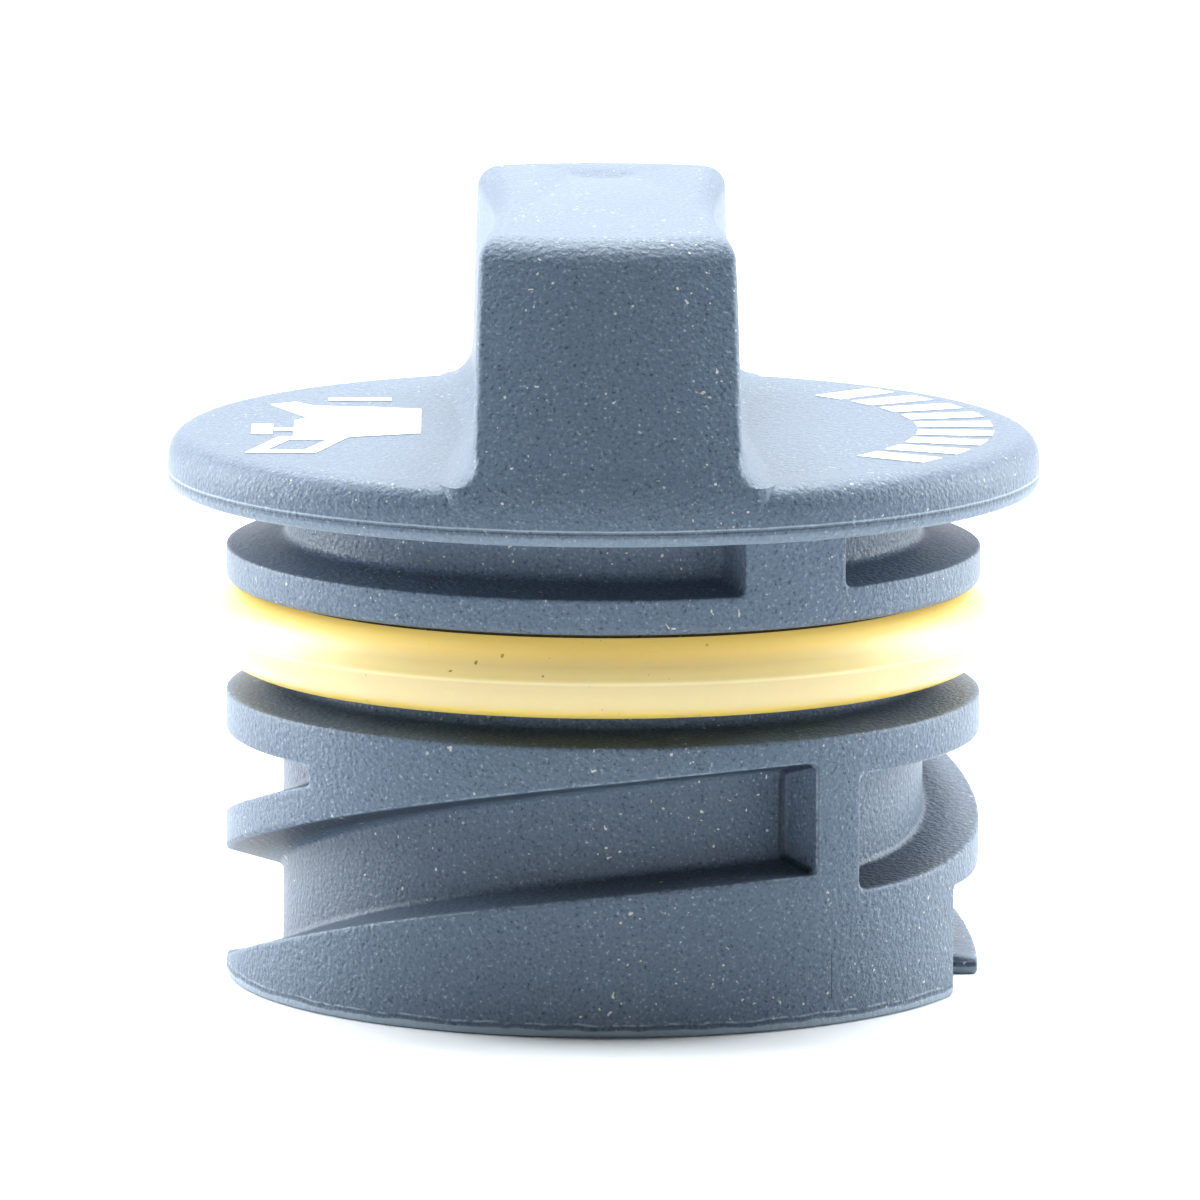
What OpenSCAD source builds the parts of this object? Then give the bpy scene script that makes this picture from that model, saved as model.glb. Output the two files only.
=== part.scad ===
// Oil filler cap with a grip bar, a cam thread plug and an elastic seal ring.
// Origin: centre of the plug's bottom rim. +Z points up along the cap's axis and +Y along the grip bar.
// Angles on the plug are counted from the front (-Y) side, counterclockwise as seen from above.

/* [Flange] */
// Outer diameter of the flange
flange_d = 62; // [58:0.5:70]
// Thickness of the flange at its rim
flange_t = 4; // [3.2:0.1:5]
// Rounding of the flange's top edge, down to the parting line
flange_top_r = 2; // [0.8:0.1:2.3]
// Chamfer of the flange's bottom edge
flange_bottom_c = 0.7; // [0.2:0.1:0.9]

/* [Plug] */
// Outer diameter of the collars and thread ridges
plug_d = 53.7; // [51:0.1:56]
// Diameter at the bottom of the seal groove and the neck
root_d = 45; // [43:0.1:45.2]
// Diameter at the bottom of the cam thread
thread_root_d = 45.6; // [45.2:0.1:46.5]
// Height of the lower collar's top edge above the bottom rim
lower_collar_z = 20.5; // [20:0.1:24]
// Thickness of the lower collar at its rim
lower_collar_t = 2.9; // [2.2:0.1:3.2]
// Width of the seal groove at the collars' rims
seal_groove_w = 7.7; // [7.2:0.1:9]
// Thickness of the upper collar at its rim
upper_collar_t = 2.7; // [2:0.1:4]
// Height of the neck between the upper collar and the flange
neck_h = 4.2; // [3:0.1:6]
// Chamfer of the bottom rim
rim_chamfer = 0.2; // [0.1:0.05:0.8]
// Rise of each groove's side walls from the rims to the groove's bottom, by draft
wall_rise = 0.7; // [0.3:0.05:0.9]
// Rise of the thread groove's upper wall, which has more draft
slot_top_rise = 1.15; // [0.5:0.05:1.5]

/* [Neck webs] */
// Width of each of the two webs that bridge the neck, in degrees
web_angle = 17.5; // [12:0.5:30]
// Angle of each web's middle
web_at = 29.8; // [25:0.1:35]

/* [Cam thread] */
// Rise of the thread at its steep end, in mm a turn
thread_lead = 44; // [36:1:50]
// Height of the groove's lower edge at its closed end
slot_end_z = 10.8; // [10:0.1:11]
// Height of the groove between its two edges
slot_w = 8; // [7:0.1:8.2]
// Angle of the groove's end wall
slot_end_at = 33.3; // [30:0.1:36]
// Angle over which the groove levels out towards its end wall
slot_blend = 83; // [60:1:90]
// Angle at which the first entry for a lug starts; it ends at the ridge's tip
entry_from = -125; // [-126:0.1:-105]
// Angle at which the second entry starts, counted half a turn on, so that the cap fits one way round only
second_entry_from = -112.6; // [-126:0.1:-105]
// Angle of the ridge's tip
entry_to = -94; // [-96:0.1:-88]
// Height that the ridge keeps at its tip
tip_h = 1.1; // [0.8:0.05:1.4]
// Height of the entry's upper edge
entry_h = 7.9; // [7:0.1:9]
// Angle at which the relief pocket starts, behind the stop rib
relief_from = 41.6; // [40:0.1:46]
// Angle at which the relief pocket ends
relief_to = 129.3; // [115:0.1:130]
// Height of the relief pocket's lower edge at its start
relief_z = 9.25; // [9:0.05:10]
// Angle over which the relief pocket's lower edge turns up to the full rise
relief_blend = 62; // [50:1:70]

/* [Grip bar] */
// Height of the grip bar above the flange
grip_h = 16.4; // [12:0.1:24]
// Width of the grip bar at its ends, near the top
grip_w = 18; // [15:0.5:22]
// Depth of the finger waist on each side
waist_depth = 1.2; // [0.4:0.1:2]
// Length along which the waist runs, to each side of the middle
waist_reach = 24; // [20:0.5:26]
// Length of the grip bar at the top
grip_top_l = 44.6; // [38:0.2:48]
// Growth of the grip bar's half width down to the flange, by draft
grip_side_draft = 0.35; // [0.1:0.05:0.8]
// Rounding of the grip bar's top edges
grip_top_r = 1.7; // [0.6:0.1:2]
// Rounding where the grip bar meets the flange
grip_foot_r = 2.5; // [1:0.1:3.5]
// Rounding of the grip bar's upright corners
grip_corner_r = 0.4; // [0.3:0.1:2.5]
// Diameter of the gate dimple on the grip bar
dimple_d = 4.9; // [3:0.1:7]
// Depth of the gate dimple
dimple_depth = 0.35; // [0.2:0.05:0.6]
// Distance of the gate dimple from the middle, towards the back
dimple_at = 14.2; // [8:0.1:16]

/* [Hollow inside] */
// Inner diameter of the plug
bore_d = 39; // [36:0.2:40]
// Thickness of the skin under the flange's top
ceiling_t = 3; // [2.6:0.1:4]
// Wall of the grip bar around its core
grip_wall = 3; // [2.4:0.1:4]

/* [Seal ring] */
// Section diameter of the seal ring
seal_section = 5.3; // [4.5:0.1:5.5]
// Clearance between the seal ring and the bottom of its groove
seal_gap = 0.05; // [0.02:0.01:0.15]
// Height of the seal ring's middle above the lower collar's top edge
seal_rise = 4.5; // [3.8:0.1:4.7]

/* [Printed marks] */
// Thickness of the printed marks
mark_t = 0.05; // [0.05:0.05:0.2]
// Clearance between the oil can's base and the foot of the grip bar
can_gap = 1.15; // [0.5:0.05:1.2]
// Middle of the oil can's body, towards the back
can_at_y = 1.6; // [0:0.1:2]
// Height of the oil can's body, as a share of the room between the grip bar's foot and the flange's edge
can_share = 0.525; // [0.4:0.005:0.53]
// Length of the oil can's body for its height
can_stretch = 1.6; // [1.3:0.05:1.6]
// Distance from the flange's edge to the middle of the row of dashes
dash_inset = 6; // [5.4:0.1:9]
// Length of each dash, across the row
dash_l = 5.4; // [3:0.1:5.6]
// Width of each dash
dash_w = 2.6; // [1.5:0.1:2.8]
// Number of dashes
dash_count = 9; // [3:1:9]
// Angle from one dash to the next
dash_step = 9.7; // [9:0.1:10]
// Angle of the row's middle, towards the back
dash_middle_at = 4.2; // [0:0.1:5]

/* [Hidden] */
$fn = 96;
cap_color = [0.33, 0.39, 0.48];
seal_color = [0.87, 0.72, 0.35];
mark_color = [0.95, 0.96, 0.97];
plug_r = plug_d / 2;
root_r = root_d / 2;
thread_root_r = thread_root_d / 2;
bore_r = bore_d / 2;
flange_r = flange_d / 2;
// Depth of the grooves from the rims to their bottoms
groove_depth = plug_r - root_r;
seal_low_z = lower_collar_z;
seal_high_z = seal_low_z + seal_groove_w;
upper_collar_z = seal_high_z + upper_collar_t;
flange_z = upper_collar_z + neck_h;
top_z = flange_z + flange_t;
grip_top_z = top_z + grip_h;
lower_collar_low_z = lower_collar_z - lower_collar_t;
ceiling_z = top_z - ceiling_t;
// Half width of the grip bar at its foot on the flange
foot_half_w = grip_w / 2 + grip_side_draft + grip_foot_r;
can_h = can_share * (flange_r - flange_top_r - foot_half_w);
can_l = can_stretch * can_h;
// Line width of the oil can's handle and lid
can_line = can_h / 6;
can_x = foot_half_w + can_gap + can_h / 2;
// Overlap of cutting shapes past the surface that they cut
over = 2;
// Depth to which the grip bar's foot is sunk into the flange
bed = 0.03;
// Angle between sections of the cut thread shapes
thread_step = 3;
rise_per_degree = thread_lead / 360;
// Largest share of a groove's height that one of its side walls may take
wall_share = 0.4;
// Steps in which a quarter round is built
round_steps = 4;
foot_steps = 5;

// Thread curves

// Height gained over an angle, turning from level to the full rise along the blend angle
function cam(turn, blend) =
    turn <= 0 ? 0 :
    turn < blend ? rise_per_degree * turn * turn / (2 * blend) :
    rise_per_degree * (turn - blend / 2);

function slot_z(at) = slot_end_z - cam(slot_end_at - at, slot_blend);
function slot_low(at) = max(tip_h, slot_z(at));
function slot_high(at) = slot_z(at) + slot_w;
function relief_low(at) = relief_z + cam(at - relief_from, relief_blend);

// Height of the relief pocket at its far end, where its upper edge comes down in a quarter round
relief_end_h = lower_collar_low_z - relief_low(relief_to);
relief_round_turn = asin(relief_end_h / plug_r);
// Share of its height that the pocket keeps at its very end
relief_tip = 0.1;
function relief_high(at) =
    let (past = max(0, at - (relief_to - relief_round_turn)) / relief_round_turn)
    relief_low(at) + (lower_collar_low_z - relief_low(at)) * max(relief_tip, sqrt(max(0, 1 - past * past)));

// A groove cut round the plug from one angle to the other.
// Each section is [angle, low edge, high edge], with both edges given at the plug's outer radius.
// The high edge drops by top_rise down to the groove's bottom, and the low edge climbs by the wall rise.
module helical_cut(sections, top_rise) {
    inner_r = root_r - over;
    outer_r = plug_r + over;
    points = [
        for (s = sections)
            let (
                steepest = wall_share * (s[2] - s[1]) / (plug_r - inner_r),
                low_slope = min(wall_rise / groove_depth, steepest),
                high_slope = min(top_rise / groove_depth, steepest)
            )
            for (corner = [
                [inner_r, s[1] + low_slope * (plug_r - inner_r)],
                [outer_r, s[1] + low_slope * (plug_r - outer_r)],
                [outer_r, s[2] - high_slope * (plug_r - outer_r)],
                [inner_r, s[2] - high_slope * (plug_r - inner_r)]
            ])
            [corner[0] * sin(s[0]), -corner[0] * cos(s[0]), corner[1]]
    ];
    last = len(sections) - 1;
    sides = [
        for (i = [0 : last - 1])
            for (k = [0 : 3])
                let (a = 4 * i + k, b = 4 * i + (k + 1) % 4)
                for (t = [[a, b, a + 4], [b, b + 4, a + 4]])
                    t
    ];
    ends = [[3, 2, 1, 0], [4 * last, 4 * last + 1, 4 * last + 2, 4 * last + 3]];
    polyhedron(points = points, faces = concat(sides, ends), convexity = 6);
}

// Evenly spaced angles from one end to the other
function spread(from, to) =
    let (n = max(2, ceil((to - from) / thread_step)))
    [for (i = [0 : n]) from + (to - from) * i / n];

module thread_slot(from) {
    sections = [for (at = spread(from + thread_step, slot_end_at)) [at, slot_low(at), slot_high(at)]];
    helical_cut(sections, slot_top_rise);
}

module thread_entry(from) {
    sections = [for (at = spread(from, entry_to)) [at, -over - wall_rise, entry_h]];
    helical_cut(sections, slot_top_rise);
}

module thread_relief() {
    straight = spread(relief_from, relief_to - relief_round_turn);
    rounded = [
        for (k = [1 : round_steps])
            relief_to - relief_round_turn * (1 - sin(90 * k / round_steps))
    ];
    sections = [for (at = concat(straight, rounded)) [at, relief_low(at), relief_high(at)]];
    helical_cut(sections, wall_rise);
}

// Everything outside the root of the plug, so that each cut ends in a true cylinder
module outside_root() {
    difference() {
        translate([0, 0, -2 * over])
            cylinder(r = plug_r + 2 * over, h = lower_collar_z + 2 * over);
        translate([0, 0, -3 * over])
            cylinder(r = thread_root_r, h = lower_collar_z + 6 * over);
    }
}

module thread_cuts() {
    intersection() {
        outside_root();
        for (start = [[0, entry_from], [180, second_entry_from]])
            rotate([0, 0, start[0]]) {
                thread_slot(start[1]);
                thread_entry(start[1]);
                thread_relief();
            }
    }
}

// Body of revolution

module plug_section() {
    polygon([
        [0, 0],
        [plug_r - rim_chamfer, 0],
        [plug_r, rim_chamfer],
        [plug_r, flange_z + bed],
        [0, flange_z + bed]
    ]);
}

module flange_section() {
    polygon([
        [0, flange_z],
        [flange_r - flange_bottom_c, flange_z],
        [flange_r, flange_z + flange_bottom_c],
        [flange_r, top_z - flange_top_r],
        [flange_r - flange_top_r, top_z],
        [0, top_z]
    ]);
    translate([flange_r - flange_top_r, top_z - flange_top_r])
        intersection() {
            circle(r = flange_top_r);
            square(flange_top_r);
        }
}

// Section of a recess cut in from the plug's outer face, narrower at its bottom
module recess_section(low_z, high_z) {
    polygon([
        [root_r, low_z + wall_rise],
        [plug_r, low_z],
        [plug_r + over, low_z],
        [plug_r + over, high_z],
        [plug_r, high_z],
        [root_r, high_z - wall_rise]
    ]);
}

module seal_groove() {
    rotate_extrude()
        recess_section(seal_low_z, seal_high_z);
}

module neck_pockets() {
    pocket_angle = 180 - web_angle;
    for (turn = [0, 180])
        rotate([0, 0, turn + web_at + web_angle / 2 - 90])
            rotate_extrude(angle = pocket_angle)
                recess_section(upper_collar_z, flange_z);
}

module hollow() {
    translate([0, 0, -over])
        cylinder(r = bore_r, h = ceiling_z + over);
}

// Grip bar

// Half width of the grip bar at a place along it, with the given half width at its ends
function grip_half_w(y, end_w) =
    end_w - (abs(y) < waist_reach ? waist_depth * (1 + cos(180 * y / waist_reach)) / 2 : 0);

// Times that the distance to the waisted side is found anew from the last result
side_tries = 4;
// Distance from the axis to the grip bar's side in the direction of an angle from the bar's own line
function side_reach(angle, end_w, tries) =
    tries == 0 ? end_w / sin(angle) :
    grip_half_w(side_reach(angle, end_w, tries - 1) * cos(angle), end_w) / sin(angle);

// The smaller of two lengths, rounded over where they meet
function soft_min(a, b, blend) =
    let (h = max(0, blend - abs(a - b)))
    min(a, b) - h * h / (4 * blend);

// Angle from the bar's line up to which only its end face counts
end_only_at = 6;
function grip_reach(angle, end_w, end_r) =
    angle < end_only_at ? end_r :
    soft_min(side_reach(angle, end_w, side_tries), end_r, 2 * grip_corner_r);

// Angles from the bar's line at which each ring has its points, close together at the corners
corner_margin = 2;
end_steps = 3;
corner_steps = 14;
side_steps = 8;
low_corner_at = asin((grip_w / 2 + grip_side_draft) / flange_r) - corner_margin;
high_corner_at = asin(grip_w / grip_top_l) + corner_margin;
corner_turn = high_corner_at - low_corner_at;
quarter = concat(
    [for (k = [0 : end_steps - 1]) k * low_corner_at / end_steps],
    [for (k = [0 : corner_steps - 1]) low_corner_at + k * corner_turn / corner_steps],
    [for (k = [0 : side_steps]) high_corner_at + k * (90 - high_corner_at) / side_steps]
);
half_turn = concat(quarter, [for (k = [len(quarter) - 2 : -1 : 0]) 180 - quarter[k]]);
ring_angles = concat(half_turn, [for (k = [1 : len(half_turn) - 2]) 180 + half_turn[k]]);
function fold(angle) =
    let (a = angle % 180)
    a > 90 ? 180 - a : a;

function grip_ring(z, end_w, end_r) = [
    for (a = ring_angles)
        let (r = grip_reach(fold(a), end_w, end_r))
        [r * sin(a), -r * cos(a), z]
];

grip_end_top_r = grip_top_l / 2;
grip_end_low_r = flange_r - bed;
// Radius of the grip bar's end face at a height above the flange
function end_face_r(h) = grip_end_low_r + (grip_end_top_r - grip_end_low_r) * h / grip_h;
function end_half_w(h) = grip_w / 2 + grip_side_draft * (1 - h / grip_h);

// Each ring is [height above the flange, growth of the outline]
foot_rings = [
    for (k = [0 : foot_steps])
        let (t = 90 * k / foot_steps)
        [grip_foot_r * (1 - cos(t)), grip_foot_r * (1 - sin(t))]
];
top_rings = [
    for (k = [0 : round_steps])
        let (t = 90 * k / round_steps)
        [grip_h - grip_top_r * (1 - sin(t)), -grip_top_r * (1 - cos(t))]
];
grip_rings = concat([[-flange_top_r, grip_foot_r]], foot_rings, top_rings);

module grip_bar() {
    n = len(ring_angles);
    rings = [
        for (g = grip_rings)
            let (h = max(0, g[0]), end_growth = min(0, g[1]))
            grip_ring(top_z + g[0] - bed, end_half_w(h) + g[1], end_face_r(h) + end_growth)
    ];
    points = [for (ring = rings) for (p = ring) p];
    last = len(rings) - 1;
    sides = [
        for (i = [0 : last - 1])
            for (k = [0 : n - 1])
                let (a = i * n + k, b = i * n + (k + 1) % n)
                for (t = [[a, a + n, b], [b, a + n, b + n]])
                    t
    ];
    bottom = [for (k = [0 : n - 1]) k];
    top = [for (k = [n - 1 : -1 : 0]) last * n + k];
    polyhedron(points = points, faces = concat(sides, [bottom, top]), convexity = 4);
}

module gate_dimple() {
    ball_r = (dimple_d * dimple_d / 4 + dimple_depth * dimple_depth) / (2 * dimple_depth);
    translate([0, dimple_at, grip_top_z - bed - dimple_depth + ball_r])
        sphere(r = ball_r);
}

// Core inside the grip bar, open to the plug's hollow
module grip_core() {
    core_w = grip_w - 2 * waist_depth - 2 * grip_wall;
    core_l = min(grip_top_l - 2 * grip_wall, bore_d - 2 * bed);
    core_h = grip_top_z - grip_wall - ceiling_z + over;
    translate([0, 0, ceiling_z - over])
        linear_extrude(height = core_h) {
            square([core_w, core_l - core_w], center = true);
            for (side = [-1, 1])
                translate([0, side * (core_l - core_w) / 2])
                    circle(d = core_w);
        }
}

module cap_body() {
    color(cap_color)
        difference() {
            union() {
                rotate_extrude() {
                    plug_section();
                    flange_section();
                }
                grip_bar();
            }
            seal_groove();
            neck_pockets();
            thread_cuts();
            hollow();
            grip_core();
            gate_dimple();
        }
}

module seal_ring() {
    color(seal_color)
        translate([0, 0, lower_collar_z + seal_rise])
            rotate_extrude()
                translate([root_r + seal_gap + seal_section / 2, 0])
                    circle(d = seal_section);
}

// Printed marks

// An oil can seen from the side, with its base towards the grip bar and its spout towards the back
module oil_can_mark() {
    color(mark_color)
        translate([-can_x, can_at_y, top_z])
            rotate([0, 0, 90])
                linear_extrude(height = mark_t) {
                    can_body_outline();
                    can_lid_outline();
                    can_handle_outline();
                }
}

// The can's body with its spout, and a drop under the spout, as shares of the can's length and height
module can_body_outline() {
    polygon([
        [-can_l * 0.33, -can_h / 2],
        [can_l / 2, -can_h / 2],
        [can_l * 0.57, -can_h * 0.1],
        [can_l * 0.6, can_h * 0.35],
        [can_l * 0.74, can_h / 2],
        [can_l * 0.66, can_h * 0.7],
        [can_l * 0.2, can_h * 0.39],
        [can_l * 0.1, can_h / 2],
        [-can_l / 2, can_h / 2],
        [-can_l * 0.46, can_h * 0.06]
    ]);
    translate([can_l * 0.84, -can_h * 0.01])
        square([can_line, can_h / 2], center = true);
}

module can_lid_outline() {
    lid_x = -can_l * 0.2;
    translate([lid_x, can_h / 2 + can_line / 2])
        square([can_line, can_line * 1.4], center = true);
    translate([lid_x, can_h / 2 + can_line * 1.5])
        square([can_l * 0.34, can_line], center = true);
}

module can_handle_outline() {
    reach = can_l / 2;
    lean = can_h * 0.26;
    translate([-can_l / 2, can_h * 0.36])
        difference() {
            polygon([
                [can_line / 2, -can_h * 0.3],
                [-reach, -can_h * 0.3 + lean],
                [-reach, can_h * 0.25 + lean],
                [can_line / 2, can_h * 0.25]
            ]);
            polygon([
                [-can_line / 2, -can_h * 0.3 + can_line],
                [-reach + can_line, -can_h * 0.3 + lean + can_line / 2],
                [-reach + can_line, can_h * 0.25 + lean - can_line],
                [-can_line / 2, can_h * 0.25 - can_line / 2]
            ]);
        }
}

// A row of short dashes round the flange
module dash_mark() {
    color(mark_color)
        for (k = [0 : dash_count - 1])
            rotate([0, 0, dash_middle_at + (k - (dash_count - 1) / 2) * dash_step])
                translate([flange_r - dash_inset, 0, top_z + mark_t / 2])
                    cube([dash_l, dash_w, mark_t], center = true);
}

cap_body();
seal_ring();
oil_can_mark();
dash_mark();
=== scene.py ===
import bmesh
import bpy
import math
import numpy as np
from mathutils import Matrix, Vector


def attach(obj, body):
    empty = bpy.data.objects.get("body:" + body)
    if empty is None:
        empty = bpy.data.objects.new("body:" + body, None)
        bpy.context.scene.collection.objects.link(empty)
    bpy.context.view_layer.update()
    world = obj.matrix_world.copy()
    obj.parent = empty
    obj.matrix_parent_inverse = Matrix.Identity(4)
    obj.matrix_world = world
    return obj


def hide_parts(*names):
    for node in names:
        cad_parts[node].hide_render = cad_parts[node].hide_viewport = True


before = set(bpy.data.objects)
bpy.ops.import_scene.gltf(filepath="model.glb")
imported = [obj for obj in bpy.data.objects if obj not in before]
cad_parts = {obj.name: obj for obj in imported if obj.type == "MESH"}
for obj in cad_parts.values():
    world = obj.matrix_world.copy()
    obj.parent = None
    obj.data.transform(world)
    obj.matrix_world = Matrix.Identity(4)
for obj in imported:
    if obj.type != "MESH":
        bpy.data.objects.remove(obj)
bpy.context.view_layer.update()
MM = 0.001

# Sizes in millimetres and angles in degrees from the front. Those that part.scad has too are the
# same, but for the seal groove's top, 0.25 mm higher here to make room for its rounder edge.
PLUG_R, ROOT_R, THREAD_R, BORE_R, FLANGE_R = 26.85, 22.5, 22.8, 19.5, 31.0
LOWER_LOW, LOWER_TOP = 17.6, 20.5
GROOVE_MIDDLE, GROOVE_TOP, UPPER_TOP = 26, 28.45, 30.9
FLANGE_LOW, FLANGE_TOP, CEILING = 35.1, 39.1, 36.1
TOP_R, PLUG_SINK = 2.0, 1.5
DRAFT, TOP_DRAFT = 0.7 / 4.35, 1.15 / 4.35
WEB_AT, WEB_HALF = 29.8, 8.75
# Thread: millimetres of rise a degree, then each slot and each pocket behind a stop rib
RATE = 44 / 360
SLOT_END, SLOT_END_Z, SLOT_BLEND, SLOT_W, SLOT_MIDDLE = 33.3, 10.8, 83, 8.0, -40
ENTRY_FROM, ENTRY_TO, ENTRY_H, TIP_H = (-125, -112.6), -94, 7.9, 1.1
RELIEF_FROM, RELIEF_Z, RELIEF_BLEND, RELIEF_MIDDLE = 41.6, 9.25, 62, 85
RELIEF_BEND, RELIEF_BEND_L, RELIEF_BEND_DRAFT, RELIEF_TO = 126.3, 1.42, 0.063, 129.3
# Grip bar
GRIP_TOP, GRIP_H, GRIP_HALF_W, GRIP_DRAFT = 55.5, 16.4, 9.0, 0.35
GRIP_END, WAIST, WAIST_REACH = 22.3, 1.2, 24.0
GRIP_TOP_R, FOOT_R, CORNER_R, FOOT_CORNER_R = 1.7, 2.5, 0.4, 1.6
CORE_W, CORE_L, CORE_WALL, CORE_SINK = 9.6, 38.6, 3, 2
DIMPLE_D, DIMPLE_DEPTH, DIMPLE_AT, DIMPLE_SINK = 4.9, 0.35, 14.2, 0.38
# Lengths over which two surfaces run into each other
TOP_EDGE = 1.15 * TOP_R
EDGE, GROOVE_EDGE, RIM_EDGE, FLANGE_EDGE = 0.2, 0.55, 0.4, 0.8
FLANK, SLOT_FLANK, SLOT_MOUTH, TIP_ROUND = 0.5, 0.6, 0.8, 0.3
ROOT, THREAD_ROOT, END, RELIEF_END = 0.7, 0.45, 0.7, 0.9
SHELL_TRIANGLES = 185000
SHARP_ANGLE = 40


def cam(turn, blend):
    """Rise over an angle, from level to the full rate along the blend angle."""
    turn = np.maximum(turn, 0)
    return np.where(turn < blend, RATE * turn * turn / (2 * blend), RATE * (turn - blend / 2))


def slot_low(a):
    return SLOT_END_Z - cam(SLOT_END - a, SLOT_BLEND)


def relief_low(a):
    return RELIEF_Z + cam(a - RELIEF_FROM, RELIEF_BLEND)


def wide(a, b, k):
    """The larger of two distances, rounded where they meet."""
    h = np.maximum(k - np.abs(a - b), 0)
    return np.maximum(a, b) + h * h / (4 * k)


def narrow(a, b, k):
    """The smaller of two distances, rounded where they meet."""
    return -wide(-a, -b, k)


def turned(a, middle):
    """The angle moved to within half a turn of the middle."""
    return (a - middle + 180) % 360 - 180 + middle


def arc(turn, r):
    """Length along a circle of radius r over an angle in degrees."""
    return turn * math.pi / 180 * r


def field(r, a, z):
    """Distance to the plug's and flange's outside, in mm: below zero inside."""
    out = PLUG_R - r
    # The flange and the plug, as bodies of revolution
    flange = wide(r - FLANGE_R, z - FLANGE_TOP, TOP_EDGE)
    flange = wide(flange, FLANGE_LOW - z, FLANGE_EDGE)
    plug = wide(r - PLUG_R, -z, RIM_EDGE)
    solid = narrow(np.maximum(plug, z - FLANGE_TOP + PLUG_SINK), flange, FLANK)
    # Seal groove, with a rounder edge at its upper side
    cut = wide(LOWER_TOP + DRAFT * out - z, z - GROOVE_TOP + DRAFT * out, FLANK)
    cut = wide(cut, ROOT_R - r, ROOT)
    solid = wide(solid, -cut, np.where(z > GROOVE_MIDDLE, GROOVE_EDGE, EDGE))
    # Neck pockets, with a web on two sides
    from_web = (a - WEB_AT + 90) % 180 - 90
    cut = wide(UPPER_TOP + DRAFT * out - z, z - FLANGE_LOW + DRAFT * np.maximum(out, 0), FLANK)
    cut = wide(cut, ROOT_R - r, ROOT)
    cut = wide(cut, arc(WEB_HALF, r) - arc(np.abs(from_web), r), ROOT)
    solid = wide(solid, -cut, EDGE)
    for turn, entry_from in zip((0, 180), ENTRY_FROM):
        # Lug slot
        s = turned(a - turn, SLOT_MIDDLE)
        low = slot_low(s)
        floor = wide(low, TIP_H, TIP_ROUND)
        cut = wide(floor + DRAFT * out - z, z - low - SLOT_W + TOP_DRAFT * out, SLOT_FLANK)
        enter = wide(z - ENTRY_H + TOP_DRAFT * out, arc(s - ENTRY_TO, r), FLANK)
        cut = narrow(cut, enter, SLOT_MOUTH)
        cut = wide(cut, arc(s - SLOT_END, r), END)
        cut = wide(cut, arc(entry_from - s, r), END)
        cut = wide(cut, THREAD_R - r, THREAD_ROOT)
        solid = wide(solid, -cut, EDGE)
        # Relief pocket behind the stop rib; its far end bends down to its lower edge
        s = turned(a - turn, RELIEF_MIDDLE)
        low = relief_low(s)
        high = LOWER_LOW - low
        near = np.maximum(arc(s - RELIEF_BEND, r), 0)
        rise = np.sqrt(np.maximum(1 - (near / RELIEF_BEND_L) ** 2, 0.01)) * high
        tight = np.minimum(DRAFT, np.maximum(rise, 0.1) * RELIEF_BEND_DRAFT)
        cut = np.hypot(near, np.maximum(z - low, 0.01)) - high + tight * out
        cut = wide(cut, low - z + tight * out, FLANK)
        cut = wide(cut, arc(RELIEF_FROM - s, r), RELIEF_END)
        cut = wide(cut, THREAD_R - r, THREAD_ROOT)
        solid = wide(solid, -cut, EDGE)
    return solid


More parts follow.
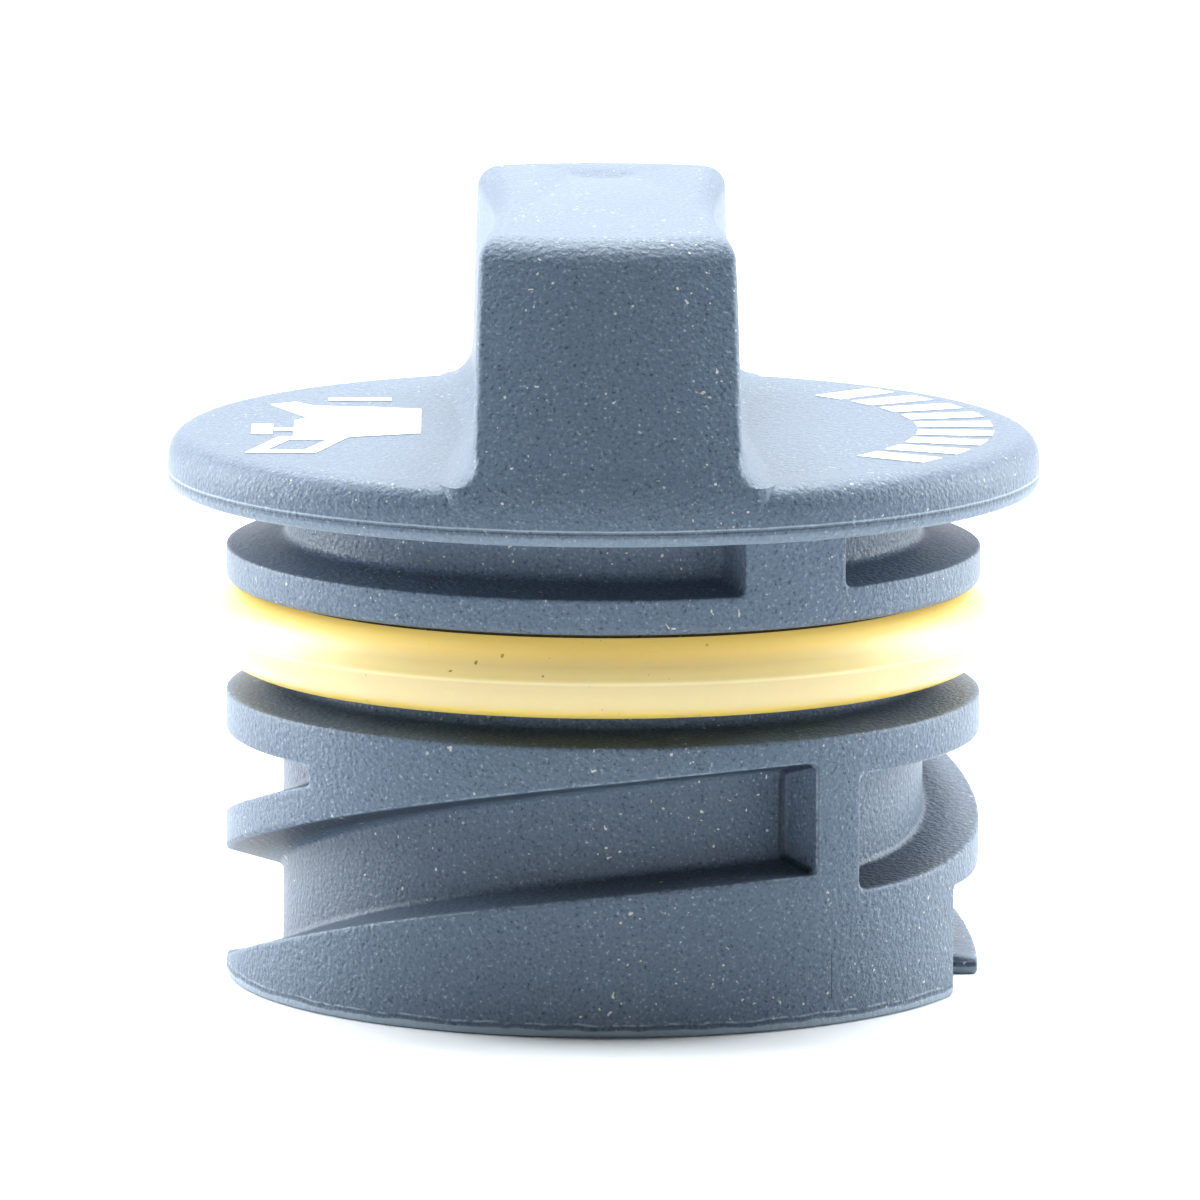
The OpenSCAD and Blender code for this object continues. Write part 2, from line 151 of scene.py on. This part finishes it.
def skin():
    """The field's surface as vertices in (r, angle, z) and quads, open at its inner radius."""
    na, dz, dr, r0 = 720, 0.22, 0.24, 20.6
    zs = np.arange(-0.33, FLANGE_TOP + 0.5, dz)
    rs = np.arange(r0, FLANGE_R + 0.6, dr)
    at = np.arange(na) * 360 / na - 180
    nz, nr = len(zs), len(rs)
    inside = np.empty((na, nz, nr), bool)
    batch = 60
    for i in range(0, na, batch):
        A, Z, R = np.meshgrid(at[i:i + batch], zs, rs, indexing="ij")
        inside[i:i + batch] = field(R, A, Z) < 0
    wrap = np.concatenate([inside, inside[:1]], 0)
    any_in = np.zeros((na, nz - 1, nr - 1), bool)
    all_in = np.ones((na, nz - 1, nr - 1), bool)
    for i in (0, 1):
        for j in (0, 1):
            for k in (0, 1):
                c = wrap[i:i + na, j:j + nz - 1, k:k + nr - 1]
                any_in |= c
                all_in &= c
    live = any_in & ~all_in
    ident = np.full(live.shape, -1, np.int64)
    ident[live] = np.arange(live.sum())
    ci, cj, ck = np.nonzero(live)
    a = at[ci] + 180 / na
    z = zs[cj] + dz / 2
    r = rs[ck] + dr / 2
    # Pull each vertex onto the surface, staying within its cell's neighbourhood
    probe, reach, degrees = 0.01, 0.15, 57.3
    for _ in range(5):
        f = field(r, a, z)
        ga = (field(r, a + probe / r * degrees, z) - f) / probe
        gz = (field(r, a, z + probe) - f) / probe
        gr = (field(r + probe, a, z) - f) / probe
        g = ga * ga + gz * gz + gr * gr + 1e-9
        step = np.clip(f / g, -reach, reach)
        a = a - step * ga / r * degrees
        z = z - step * gz
        r = r - step * gr
    slack, slack_angle = 0.06, 0.15
    a = np.clip(a, at[ci] - slack_angle, at[ci] + 360 / na + slack_angle)
    z = np.clip(z, zs[cj] - slack, zs[cj] + dz + slack)
    r = np.clip(r, rs[ck] - slack, rs[ck] + dr + slack)
    first = ck == 0
    r[first] = r0 + dr / 2
    quads = []

    def add(corners, flip):
        q = np.stack([ident[c] for c in corners], 1)
        q = np.where(flip[:, None], q[:, ::-1], q)
        quads.append(q[(q >= 0).all(1)])

    # Grid edges along the angle
    i, j, k = np.nonzero((inside != wrap[1:])[:, 1:-1, 1:-1])
    j, k = j + 1, k + 1
    add([(i, j - 1, k - 1), (i, j, k - 1), (i, j, k), (i, j - 1, k)], inside[i, j, k])
    # Grid edges along z
    i, j, k = np.nonzero((inside[:, :-1] != inside[:, 1:])[:, :, 1:-1])
    k = k + 1
    p = (i - 1) % na
    add([(p, j, k - 1), (i, j, k - 1), (i, j, k), (p, j, k)], ~inside[i, j, k])
    # Grid edges along r
    i, j, k = np.nonzero((inside[:, :, :-1] != inside[:, :, 1:])[:, 1:-1, :])
    j = j + 1
    p = (i - 1) % na
    add([(p, j - 1, k), (i, j - 1, k), (i, j, k), (p, j, k)], inside[i, j, k])
    # The two rims left open at the inner radius, as rings of vertices in order of angle
    order = np.argsort(ci[first])
    ids = np.nonzero(first)[0][order]
    low = ids[z[ids] < FLANGE_TOP / 2]
    top = ids[z[ids] > FLANGE_TOP / 2]
    return a, z, r, np.concatenate(quads), low, top, na


def mesh_object(name, verts, faces):
    """A smooth mesh object, from vertices in millimetres."""
    mesh = bpy.data.meshes.new(name)
    mesh.from_pydata([tuple(v) for v in verts * MM], [], [tuple(f) for f in faces])
    mesh.validate()
    mesh.update()
    ob = bpy.data.objects.new(name, mesh)
    bpy.context.scene.collection.objects.link(ob)
    mesh.polygons.foreach_set("use_smooth", [True] * len(mesh.polygons))
    bm = bmesh.new()
    bm.from_mesh(mesh)
    bmesh.ops.recalc_face_normals(bm, faces=bm.faces)
    bm.to_mesh(mesh)
    bm.free()
    return ob


def around(radius, angle, height):
    """Points on a circle, or on several, from angles in radians from the front."""
    return np.stack([radius * np.sin(angle), -radius * np.cos(angle), height], -1)


def plug_object():
    """The plug and flange: the field's skin, closed by the bore and by caps."""
    a, z, r, quads, low, top, na = skin()
    verts = around(r, np.radians(a), z)
    n = len(verts)
    faces = quads.tolist()
    ring = np.radians(np.arange(na) * 360 / na - 180 + 180 / na)
    nxt = np.roll(np.arange(na), -1)
    bore = (
        (BORE_R + 0.3, 0.0),
        (BORE_R, 0.3),
        (BORE_R, CEILING - 0.8),
        (BORE_R - 0.3, CEILING - 0.2),
        (BORE_R - 0.9, CEILING),
    )
    rows, extra = [low], []
    for radius, height in bore:
        rows.append(n + len(extra) * na + np.arange(na))
        extra.append(around(radius, ring, np.full(na, height)))
    for lo, hi in zip(rows, rows[1:]):
        faces += np.stack([lo, hi, hi[nxt], lo[nxt]], 1).tolist()
    # Fans at the ceiling and at the flange's top, each round a vertex in its middle
    middle = n + len(extra) * na
    last = rows[-1]
    faces += [[int(last[k]), middle, int(last[nxt[k]])] for k in range(na)]
    faces += [[int(top[k]), int(top[nxt[k]]), middle + 1] for k in range(na)]
    extra.append(np.array([[0, 0, CEILING], [0, 0, FLANGE_TOP]]))
    return mesh_object("plug", np.concatenate([verts] + extra), faces)


def apply_modifier(ob, kind, **settings):
    """Applies one modifier to the object's mesh."""
    m = ob.modifiers.new(kind, kind)
    for key, value in settings.items():
        setattr(m, key, value)
    dg = bpy.context.evaluated_depsgraph_get()
    mesh = bpy.data.meshes.new_from_object(ob.evaluated_get(dg))
    ob.modifiers.remove(m)
    ob.data = mesh


def joined(ob, other, operation):
    """Applies a solid boolean to ob and removes the other object."""
    apply_modifier(ob, "BOOLEAN", operation=operation, solver="MANIFOLD", object=other)
    bpy.data.objects.remove(other)


def grip_object():
    """Grip bar as rings from its sunk foot to its top, with the outline rule of part.scad."""
    at = np.unique(np.concatenate([np.arange(0, 90.01, 2.0), np.arange(12, 30, 0.3)]))
    at = np.concatenate([at, 180 - at[-2::-1]])
    at = np.concatenate([at, 180 + at[1:-1]])
    fold = at % 180
    fold = np.where(fold > 90, 180 - fold, fold)
    # Within this angle of the bar's length only its end is met
    end_only = 6
    side_angle = np.radians(np.maximum(fold, end_only))
    sin, cos = np.sin(side_angle), np.cos(side_angle)

    def ring(z, end_w, end_r, corner):
        y = end_w / sin * cos
        for _ in range(8):
            dent = WAIST * (1 + np.cos(math.pi * y / WAIST_REACH)) / 2
            w = end_w - np.where(np.abs(y) < WAIST_REACH, dent, 0)
            y = w / sin * cos
        length = narrow(w / sin, np.full_like(w, end_r), 2 * corner)
        length = np.where(fold < end_only, end_r, length)
        return around(length, np.radians(at), np.full(len(at), z))

    steps = [(-TOP_R, FOOT_R)]
    for t in np.radians(np.linspace(0, 90, 13)):
        steps.append((FOOT_R * (1 - math.cos(t)), FOOT_R * (1 - math.sin(t))))
    steps += [(h, 0) for h in np.linspace(FOOT_R, GRIP_H - GRIP_TOP_R, 9)[1:-1]]
    for t in np.radians(np.linspace(0, 90, 11)):
        steps.append((GRIP_H - GRIP_TOP_R * (1 - math.sin(t)), -GRIP_TOP_R * (1 - math.cos(t))))
    # The bar is lowered and shortened a little, so that no face lies in one of the flange's
    inset = 0.03
    end_low = FLANGE_R - inset
    rings = []
    for h, grow in steps:
        up = max(0, h)
        share = up / GRIP_H
        half_w = GRIP_HALF_W + GRIP_DRAFT * (1 - share) + grow
        end_r = end_low + (GRIP_END - end_low) * share + min(0, grow)
        # The foot's corners are rounder in plan, so that it runs out softly at the flange's edge
        corner = CORNER_R + FOOT_CORNER_R * max(0, 1 - up / FOOT_R)
        rings.append(ring(FLANGE_TOP + h - inset, half_w, end_r, corner))
    n = len(at)
    k = np.arange(n)
    nxt = np.roll(k, -1)
    faces = []
    for i in range(len(rings) - 1):
        faces += np.stack([i * n + k, i * n + nxt, (i + 1) * n + nxt, (i + 1) * n + k], 1).tolist()
    faces.append(list(range(n)))
    faces.append([(len(rings) - 1) * n + int(i) for i in k[::-1]])
    return mesh_object("grip", np.concatenate(rings), faces)


def core_object():
    """The hollow inside the grip bar, a block with round ends."""
    t = np.radians(np.arange(0, 360, 4) + 2)
    x = CORE_W / 2 * np.cos(t)
    y = CORE_W / 2 * np.sin(t)
    y = np.where(y > 0, y + (CORE_L - CORE_W) / 2, y - (CORE_L - CORE_W) / 2)
    n = len(t)
    levels = (CEILING - CORE_SINK, GRIP_TOP - CORE_WALL)
    verts = np.concatenate([np.stack([x, y, np.full(n, z)], 1) for z in levels])
    k = np.arange(n)
    nxt = np.roll(k, -1)
    faces = np.stack([k, nxt, n + nxt, n + k], 1).tolist()
    faces += [list(range(n)), list(range(2 * n - 1, n - 1, -1))]
    return mesh_object("core", verts, faces)


def dimple_object():
    """The ball that leaves the dimple in the grip's top."""
    radius = (DIMPLE_D ** 2 / 4 + DIMPLE_DEPTH ** 2) / (2 * DIMPLE_DEPTH)
    centre = (0, DIMPLE_AT, GRIP_TOP - DIMPLE_SINK + radius)
    bpy.ops.mesh.primitive_uv_sphere_add(
        segments=160, ring_count=120, radius=radius * MM, location=[c * MM for c in centre]
    )
    return bpy.context.object


def seal_object():
    """The seal ring, with a thin mould line round its outside."""
    middle_r, half_w, half_h, z = 25.2, 2.65, 2.8, 25.15
    line_h, line_w = 0.06, 2.2
    na, nb = 360, 56
    a = np.radians(np.arange(na) * 360 / na)
    b = np.radians(np.arange(nb) * 360 / nb)
    off_line = (b * 180 / math.pi + 180) % 360 - 180
    section = half_w + line_h * np.exp(-(off_line / line_w) ** 2)
    A, B = np.meshgrid(a, b, indexing="ij")
    R = middle_r + section[None, :] * np.cos(B)
    verts = around(R, A, z + half_h * np.sin(B)).reshape(-1, 3)
    i, j = np.meshgrid(np.arange(na), np.arange(nb), indexing="ij")
    i2, j2 = (i + 1) % na, (j + 1) % nb
    faces = np.stack([i * nb + j, i2 * nb + j, i2 * nb + j2, i * nb + j2], -1)
    return mesh_object("seal", verts, faces.reshape(-1, 4).tolist())


body = plug_object()
joined(body, grip_object(), "UNION")
joined(body, core_object(), "DIFFERENCE")
joined(body, dimple_object(), "DIFFERENCE")
triangles = sum(len(q.vertices) - 2 for q in body.data.polygons)
apply_modifier(body, "DECIMATE", ratio=SHELL_TRIANGLES / triangles)
body.name = "cap_shell"
body.data.polygons.foreach_set("use_smooth", [True] * len(body.data.polygons))
body.data.set_sharp_from_angle(angle=math.radians(SHARP_ANGLE))
ring = seal_object()


def material(name, color, rough):
    m = bpy.data.materials.new(name)
    m.use_nodes = True
    inputs = m.node_tree.nodes["Principled BSDF"].inputs
    inputs["Base Color"].default_value = (*color, 1)
    inputs["Roughness"].default_value = rough
    return m, inputs


class Nodes:
    """Builds values and colours in a material's nodes, from the place on the object in metres."""

    def __init__(self, tree):
        self.new, self.link = tree.nodes.new, tree.links.new
        self.where = self.new("ShaderNodeTexCoord").outputs["Object"]
        split = self.new("ShaderNodeSeparateXYZ")
        self.link(self.where, split.inputs["Vector"])
        self.x, self.y, self.z = split.outputs

    def noise(self, scale, detail):
        n = self.new("ShaderNodeTexNoise")
        n.inputs["Scale"].default_value = scale
        n.inputs["Detail"].default_value = detail
        self.link(self.where, n.inputs["Vector"])
        return n.outputs["Fac"]

    def ramp(self, source, stops):
        r = self.new("ShaderNodeValToRGB")
        e = r.color_ramp.elements
        while len(e) < len(stops):
            e.new(0.5)
        for el, (at, color) in zip(e, stops):
            el.position, el.color = at, (*color, 1)
        self.link(source, r.inputs["Fac"])
        return r.outputs["Color"]

    def spread(self, source, low, high):
        """0 at the low value and 1 at the high one."""
        n = self.new("ShaderNodeMapRange")
        n.inputs["From Min"].default_value = low
        n.inputs["From Max"].default_value = high
        self.link(source, n.inputs["Value"])
        return n.outputs["Result"]

    def math(self, kind, *values):
        n = self.new("ShaderNodeMath")
        n.operation = kind
        for value, socket in zip(values, n.inputs):
            if isinstance(value, (int, float)):
                socket.default_value = value
            else:
                self.link(value, socket)
        return n.outputs["Value"]

    def plus(self, a, b):
        return self.math("ADD", a, b)

    def less(self, a, b):
        return self.math("SUBTRACT", a, b)

    def times(self, *values):
        out = values[0]
        for v in values[1:]:
            out = self.math("MULTIPLY", out, v)
        return out

    def largest(self, *values):
        out = values[0]
        for v in values[1:]:
            out = self.math("MAXIMUM", out, v)
        return out

    def smallest(self, *values):
        out = values[0]
        for v in values[1:]:
            out = self.math("MINIMUM", out, v)
        return out

    def above(self, value, low, soft):
        """0 up to the low value, then rising to 1 over the soft length."""
        up = self.times(self.less(value, low), 1 / soft)
        return self.largest(self.smallest(up, 1.0), 0.0)

    def between(self, value, low, high, soft):
        """1 inside the range and 0 outside it, with soft ends."""
        down = self.times(self.less(high, value), 1 / soft)
        return self.largest(self.smallest(self.above(value, low, soft), down), 0.0)

    def mix(self, base, share, other, blend="MIX"):
        n = self.new("ShaderNodeMix")
        n.data_type = "RGBA"
        n.blend_type = blend
        # A Mix node's colours are its inputs 6 and 7, and its output 2
        for value, socket in ((share, n.inputs["Factor"]), (base, n.inputs[6]), (other, n.inputs[7])):
            if isinstance(value, float):
                socket.default_value = value
            elif isinstance(value, tuple):
                socket.default_value = (*value, 1)
            else:
                self.link(value, socket)
        return n.outputs[2]


# Colours of the plastic, from dark to pale, and of the dust on it. The darkest also paints shade and the
# seam, the palest fleck also paints highlights, and the line and band colours are painted highlight and
# painted shade.
SEAM_AND_SHADE, PAINTED_SHADE_LINE, PIT = (0.012, 0.018, 0.028), (0.02, 0.03, 0.045), (0.020, 0.030, 0.050)
BASE_DARK, BASE_PALE, EDGE_HIGHLIGHT = (0.074, 0.101, 0.140), (0.094, 0.126, 0.170), (0.22, 0.27, 0.32)
LIT_RIM_BAND, FLECK_AND_HIGHLIGHT, RIM_HIGHLIGHT = (0.24, 0.29, 0.34), (0.26, 0.31, 0.36), (0.28, 0.33, 0.38)
DUST = (0.55, 0.54, 0.44)


def painted_rim_lines(t, color, radius, z):
    """Painted highlight and painted shade lines round the flange's rim and above the bottom rim, each
    between two heights in metres.
    """
    wave = t.times(t.less(t.noise(420, 3), 0.5), 0.0005)
    broken = t.above(t.noise(1500, 2), 0.40, 0.15)
    on_rim = t.above(radius, 0.0304, 0.0002)
    high = t.plus(z, t.times(wave, 0.15))
    # On the flange's rim: a painted highlight above its mould line, painted shade under it, and a paler
    # painted band of light on the rim's lower rounding
    for low, top, soft, share, tint in (
        (0.03622, 0.03640, 0.00006, 0.75, FLECK_AND_HIGHLIGHT),
        (0.03600, 0.03618, 0.00006, 0.6, PAINTED_SHADE_LINE),
        (0.0350, 0.03590, 0.00015, 0.35, EDGE_HIGHLIGHT),
    ):
        color = t.mix(color, t.times(on_rim, t.between(high, low, top, soft), share), tint)
    low_z = t.plus(z, wave)
    # Above the bottom rim: a painted highlight line broken into glints, painted shade under it, and a
    # band of painted light over the rim's chamfer
    for low, top, soft, share, tint in (
        (0.00086, 0.00104, 0.00006, t.times(broken, 0.6), RIM_HIGHLIGHT),
        (0.00066, 0.00086, 0.00006, 0.4, PAINTED_SHADE_LINE),
        (-0.001, 0.00060, 0.00008, 0.9, LIT_RIM_BAND),
    ):
        color = t.mix(color, t.times(t.between(low_z, low, top, soft), share), tint)
    return color


def slot_light_and_shade(t, color, angle, r, z):
    """Painted highlights along the edges of slots and pockets, and painted shade on the walls inside,
    with r and z in millimetres.
    """

    def wrapped(value, middle):
        return t.math("WRAP", value, middle + 180.0, middle - 180.0)

    def climb(turn, blend):
        turn = t.largest(turn, 0.0)
        near = t.smallest(turn, blend)
        bent = t.times(near, near, 1 / (2 * blend))
        return t.times(t.plus(bent, t.largest(t.less(turn, blend), 0.0)), RATE)

    def along(turn):
        return t.times(turn, math.pi / 180, r)

    def inside(distance):
        return t.between(distance, -20.0, 0.0, 0.1)

    slots, pockets, walls = [], [], []
    for half, entry_from in zip((0.0, 180.0), ENTRY_FROM):
        at = wrapped(t.less(angle, half), SLOT_MIDDLE)
        low = t.less(SLOT_END_Z, climb(t.less(SLOT_END, at), SLOT_BLEND))
        over = t.less(z, t.plus(low, SLOT_W))
        band = t.largest(t.less(t.largest(low, TIP_H), z), over)
        enter = t.largest(t.less(z, ENTRY_H), along(t.less(at, ENTRY_TO)))
        past_end = along(t.less(at, SLOT_END))
        slot = t.largest(t.smallest(band, enter), past_end, along(t.less(entry_from, at)))
        slots.append(slot)
        wall = t.largest(t.between(past_end, -0.6, 1.0, 0.2), t.between(over, -0.9, 1.0, 0.3))
        walls.append(t.times(wall, inside(slot)))
        at = wrapped(t.less(angle, half), RELIEF_MIDDLE)
        low = t.plus(RELIEF_Z, climb(t.less(at, RELIEF_FROM), RELIEF_BLEND))
        ends = (along(t.less(RELIEF_FROM, at)), along(t.less(at, RELIEF_TO)))
        pocket = t.largest(t.less(low, z), t.less(z, LOWER_LOW), *ends)
        pockets.append(pocket)
        # Painted shade: the pocket's lower wall is painted darkest at the rib
        wall = t.times(t.between(r, 22.7, 26.6, 0.3), t.between(pocket, -0.95, 1.0, 0.3))
        lower = t.less(1.0, t.between(t.less(z, low), 1.2, 50.0, 0.5))
        near_rib = t.times(wall, lower, t.between(at, 10.0, 78.0, 30.0))
        color = t.mix(color, t.times(near_rib, 0.85), SEAM_AND_SHADE)
    # Painted highlight: a pale line, broken by noise, along the outer edges of slots and pockets
    outer = t.above(r, 26.62, 0.08)
    line = t.times(t.between(t.smallest(*slots, *pockets), -0.3, 0.13, 0.06), outer)
    color = t.mix(color, t.times(line, t.above(t.noise(1600, 2), 0.40, 0.2), 0.6), EDGE_HIGHLIGHT)
    # Painted shade inside the slots, deepest on their end and upper walls
    inner = t.times(t.between(r, 22.0, 26.55, 0.3), inside(t.smallest(*slots)))
    color = t.mix(color, t.times(inner, 0.22), SEAM_AND_SHADE)
    return t.mix(color, t.times(inner, t.largest(*walls), 0.75), SEAM_AND_SHADE)


def plastic():
    """Blue-grey plastic with pits and flecks, a dark seam and dust, and painted highlights and painted
    shade at the rims, mould lines, edges and slots.
    """
    m, inputs = material("cap_plastic", (0.10, 0.14, 0.20), 0.45)
    t = Nodes(m.node_tree)
    radius = t.math("SQRT", t.plus(t.times(t.x, t.x), t.times(t.y, t.y)))
    angle = t.times(t.math("ARCTAN2", t.x, t.times(t.y, -1.0)), 180 / math.pi)
    r_mm, z_mm = t.times(radius, 1000.0), t.times(t.z, 1000.0)
    color = t.ramp(t.noise(4200, 2), [(0.24, PIT), (0.38, BASE_DARK), (0.64, BASE_PALE), (0.80, FLECK_AND_HIGHLIGHT)])
    color = painted_rim_lines(t, color, radius, t.z)
    color = slot_light_and_shade(t, color, angle, r_mm, z_mm)
    # Parting line low on the plug
    seam = t.times(t.between(angle, 36.0, 36.3, 0.08), t.between(z_mm, 1.7, 5.3, 0.3))
    color = t.mix(color, t.times(seam, t.above(r_mm, 26.7, 0.05), 0.75), SEAM_AND_SHADE)
    # Sparse pale dust
    dust = t.times(t.above(t.noise(3000, 0), 0.795, 0.02), t.above(t.noise(120, 1), 0.46, 0.1))
    color = t.mix(color, t.times(dust, 0.7), DUST)
    t.link(color, inputs["Base Color"])
    bump = t.new("ShaderNodeBump")
    bump.inputs["Strength"].default_value = 0.9
    bump.inputs["Distance"].default_value = 0.00013
    t.link(t.noise(2600, 3), bump.inputs["Height"])
    t.link(bump.outputs["Normal"], inputs["Normal"])
    inputs["Specular IOR Level"].default_value = 0.2
    return m


def rubber():
    """Amber elastic with dark specks. Its colour changes with height as painted light and shade: paler
    low on the ring and at the mould line at its middle.
    """
    m, inputs = material("seal_rubber", (0.80, 0.63, 0.28), 0.42)
    t = Nodes(m.node_tree)
    height = t.spread(t.z, 0.02235, 0.02795)
    # Painted light and shade: the base colour changes with height to follow how light falls on the ring
    tint = t.ramp(height, [
        (0.0, (0.62, 0.44, 0.10)),
        (0.08, (0.62, 0.44, 0.10)),
        (0.16, (0.55, 0.44, 0.22)),
        (0.47, (0.54, 0.43, 0.21)),
        (0.492, (0.64, 0.54, 0.28)),
        (0.508, (0.64, 0.54, 0.28)),
        (0.53, (0.58, 0.46, 0.19)),
        (0.75, (0.60, 0.46, 0.19)),
        (1.0, (0.66, 0.46, 0.12)),
    ])
    specks = t.ramp(t.noise(1500, 1), [(0.0, (1, 1, 1)), (0.76, (1, 1, 1)), (0.79, (0.25, 0.25, 0.25))])
    t.link(t.mix(tint, 1.0, specks, "MULTIPLY"), inputs["Base Color"])
    # Painted glow: an emission, most of it near the top, stands in for light that comes through the
    # elastic ring from behind
    glow = t.ramp(height, [
        (0.0, (0, 0, 0)),
        (0.55, (0, 0, 0)),
        (0.70, (0.06, 0.04, 0.01)),
        (0.86, (0.36, 0.25, 0.06)),
        (1.0, (0.48, 0.35, 0.09)),
    ])
    t.link(glow, inputs["Emission Color"])
    inputs["Emission Strength"].default_value = 1.0
    inputs["Subsurface Weight"].default_value = 0.7
    inputs["Subsurface Radius"].default_value = (1.0, 0.75, 0.3)
    inputs["Subsurface Scale"].default_value = 0.003
    return m


def paint(ob, mat):
    ob.data.materials.clear()
    ob.data.materials.append(mat)


plastic_m = plastic()
rubber_m = rubber()
ink_m = material("white_print", (0.92, 0.93, 0.94), 0.6)[0]
paint(body, plastic_m)
paint(ring, rubber_m)
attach(body, "root")
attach(ring, "root")
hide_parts("cap_body")
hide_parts("seal_ring")
for name in ("oil_can_mark", "dash_mark"):
    paint(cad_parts[name], ink_m)

# Floor, in metres
floor_mesh = bpy.data.meshes.new("floor")
floor_mesh.from_pydata([(-3, -3, 0), (3, -3, 0), (3, 3, 0), (-3, 3, 0)], [], [(0, 1, 2, 3)])
floor = bpy.data.objects.new("floor", floor_mesh)
bpy.context.scene.collection.objects.link(floor)
floor_mesh.materials.append(material("floor", (0.8, 0.8, 0.8), 0.9)[0])

# Soft light from all round, stronger from behind than from the camera's side
world = bpy.data.worlds.new("studio")
bpy.context.scene.world = world
world.use_nodes = True
wt = world.node_tree
coord = wt.nodes.new("ShaderNodeTexCoord")
split = wt.nodes.new("ShaderNodeSeparateXYZ")
shade = wt.nodes.new("ShaderNodeMapRange")
for socket, value in (("From Min", -0.05), ("From Max", 0.75), ("To Min", 0.08), ("To Max", 2.1)):
    shade.inputs[socket].default_value = value
wt.links.new(coord.outputs["Generated"], split.inputs["Vector"])
wt.links.new(split.outputs["Y"], shade.inputs["Value"])
wt.links.new(shade.outputs["Result"], wt.nodes["Background"].inputs["Strength"])
wt.nodes["Background"].inputs["Color"].default_value = (1, 1, 1, 1)

# Soft lights: name, place, size and power
COOL = (0.88, 0.95, 1)
AIM = Vector((0, 0, 0.03))
for name, place, size, power in (
    ("top_light", (0, 0.35, 0.75), (0.9, 0.7), 25),
    ("front_light", (0, -1.2, 0.03), (1.6, 0.35), 4.5),
    ("left_light", (-0.7, 0.3, 0.25), (0.5, 0.6), 14),
    ("right_light", (0.7, 0.3, 0.25), (0.5, 0.6), 12),
):
    data = bpy.data.lights.new(name, "AREA")
    data.shape = "RECTANGLE"
    data.size, data.size_y = size
    data.energy = power
    data.color = COOL
    light = bpy.data.objects.new(name, data)
    bpy.context.scene.collection.objects.link(light)
    light.location = place
    light.rotation_euler = (AIM - Vector(place)).to_track_quat("-Z", "Y").to_euler()

# Camera: a long lens from far away, in millimetres and pixels of the 1200-pixel frame
FRAME_PX, SENSOR = 1200, 36
distance, px_per_mm, aim_z = 1000.0, 14.044, 26.70
pitch, turn, roll = math.radians(8.97), math.radians(-0.6), math.radians(0.19)
side = -3.25 / px_per_mm
cam_data = bpy.data.cameras.new("camera")
camera = bpy.data.objects.new("camera", cam_data)
bpy.context.scene.collection.objects.link(camera)
cam_data.sensor_width = SENSOR
cam_data.lens = px_per_mm * distance * SENSOR / FRAME_PX
cam_data.clip_start = 0.1
cam_data.clip_end = 10
camera.location = Vector((
    distance * math.cos(pitch) * math.sin(turn) + side * math.cos(turn),
    -distance * math.cos(pitch) * math.cos(turn) + side * math.sin(turn),
    aim_z + distance * math.sin(pitch),
)) * MM
tilt = Matrix.Rotation(math.pi / 2 - pitch, 4, "X")
camera.rotation_euler = (Matrix.Rotation(turn, 4, "Z") @ tilt @ Matrix.Rotation(roll, 4, "Z")).to_euler()
bpy.context.scene.camera = camera
bpy.context.scene.view_settings.view_transform = "Standard"
